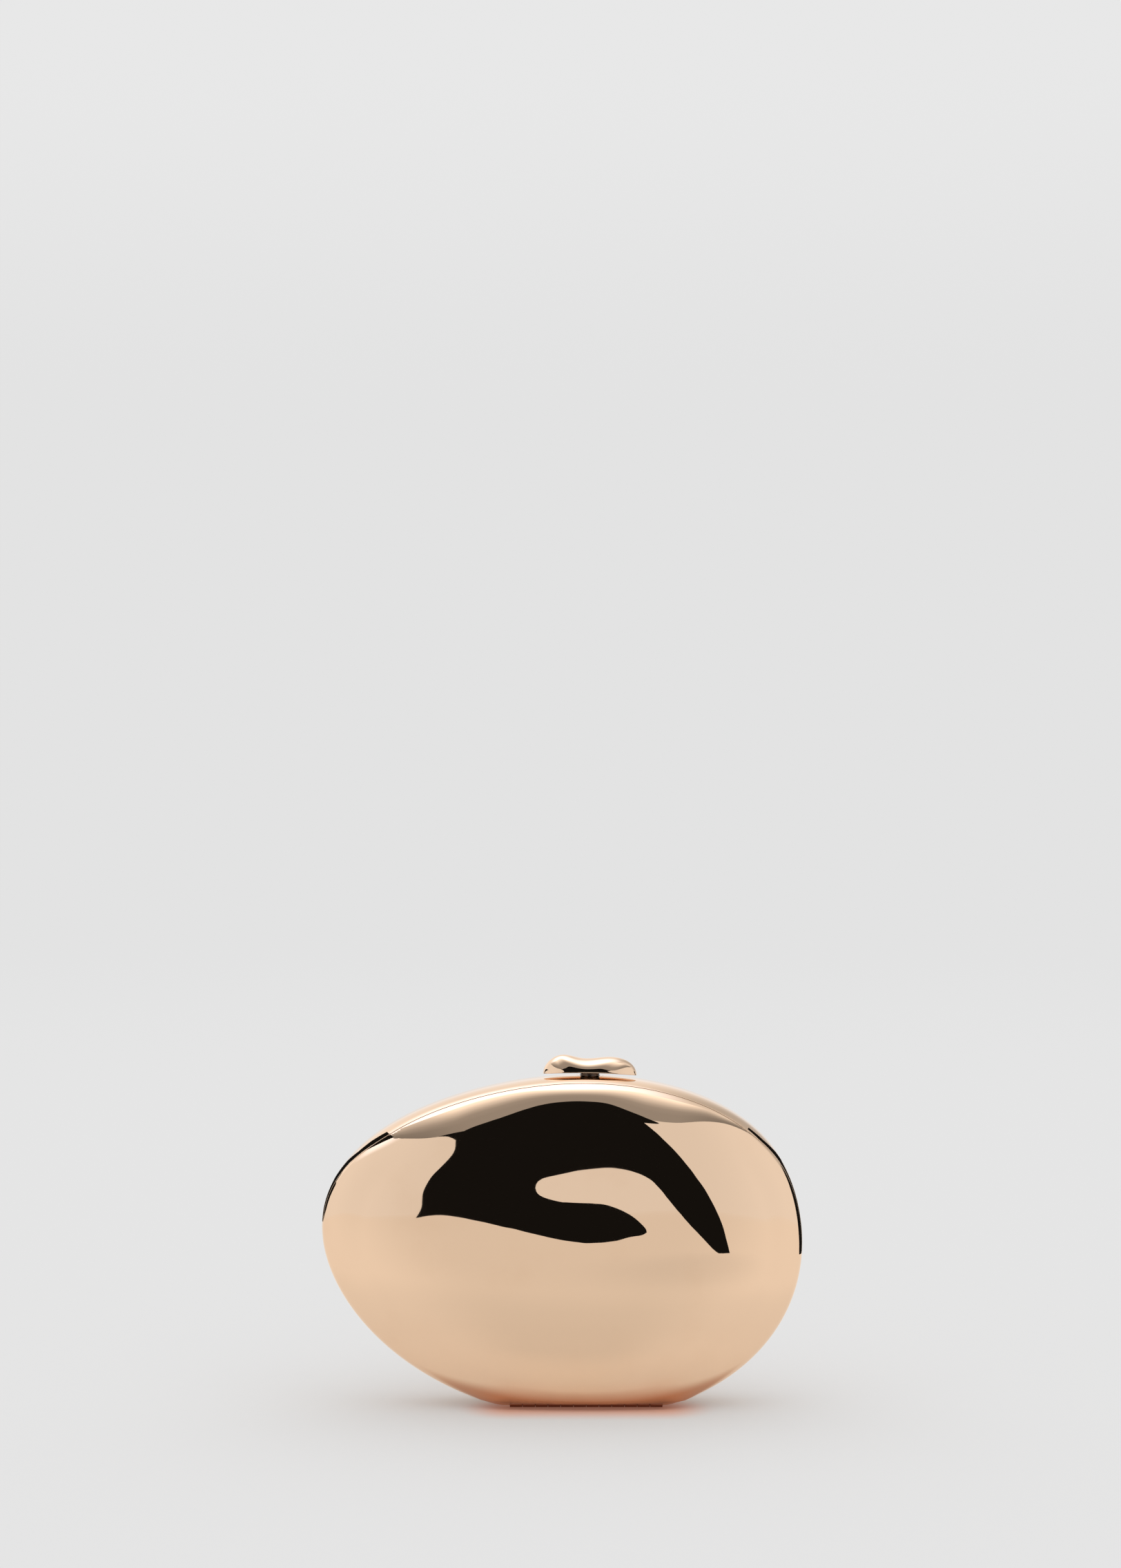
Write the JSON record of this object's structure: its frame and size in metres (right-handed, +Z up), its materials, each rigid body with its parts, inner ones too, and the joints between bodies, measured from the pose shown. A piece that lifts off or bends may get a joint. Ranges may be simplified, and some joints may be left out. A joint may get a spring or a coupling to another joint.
{
  "type": "box clutch",
  "caption": "Hard oval box clutch of polished metal: two domed shells on a piano hinge in the foot, closed by a press knob on the crown.",
  "frame": {"origin": "under the middle of the body's width and depth, on the surface that the bag stands on", "axes": "+X along the width, to the viewer's right; +Y from the front to the rear; +Z up"},
  "size_m": [0.171, 0.05, 0.124],
  "materials": {
    "polished_shell": "mirror-polished rose gold plate",
    "satin_metal": "satin rose gold plate",
    "latch_steel": "bright plated steel",
    "spring_wire": "drawn spring wire",
    "lining_cloth": "dark cloth over a thin card"
  },
  "bodies": {
    "rear_half": {"rear_shell": "polished_shell", "rear_rim_ring": "satin_metal", "rear_lining": "lining_cloth", "hinge_leaf_rear": "satin_metal", "hinge_pin": "latch_steel", "hinge_rivet_rear_1": "satin_metal", "hinge_rivet_rear_2": "satin_metal", "hinge_rivet_rear_3": "satin_metal", "stem_bush": "polished_shell", "bush_nut": "latch_steel", "latch_bracket": "latch_steel", "return_spring": "spring_wire"},
    "front_half": {"front_shell": "polished_shell", "front_rim_ring": "satin_metal", "front_lining": "lining_cloth", "hinge_leaf_front": "satin_metal", "hinge_rivet_front_1": "satin_metal", "hinge_rivet_front_2": "satin_metal", "hinge_rivet_front_3": "satin_metal", "striker": "latch_steel", "striker_rivet_left": "satin_metal", "striker_rivet_right": "satin_metal"},
    "clasp": {"clasp_knob": "polished_shell", "knob_stem": "polished_shell", "latch_bar": "latch_steel", "stem_clip": "latch_steel"}
  },
  "joints": [
    {"name": "front_hinge", "type": "hinge", "parent": "rear_half", "child": "front_half", "pos_m": [0.00848, -0.01125, 0.00195], "axis": [1, 0, 0], "range_deg": [0, 55]},
    {"name": "knob_press", "type": "slide", "parent": "rear_half", "child": "clasp", "axis": [0, 0, -1], "range_m": [0, 0.0012], "stiffness_N_per_m": 1500, "springref_m": -0.001, "deforming": ["return_spring"]}
  ]
}
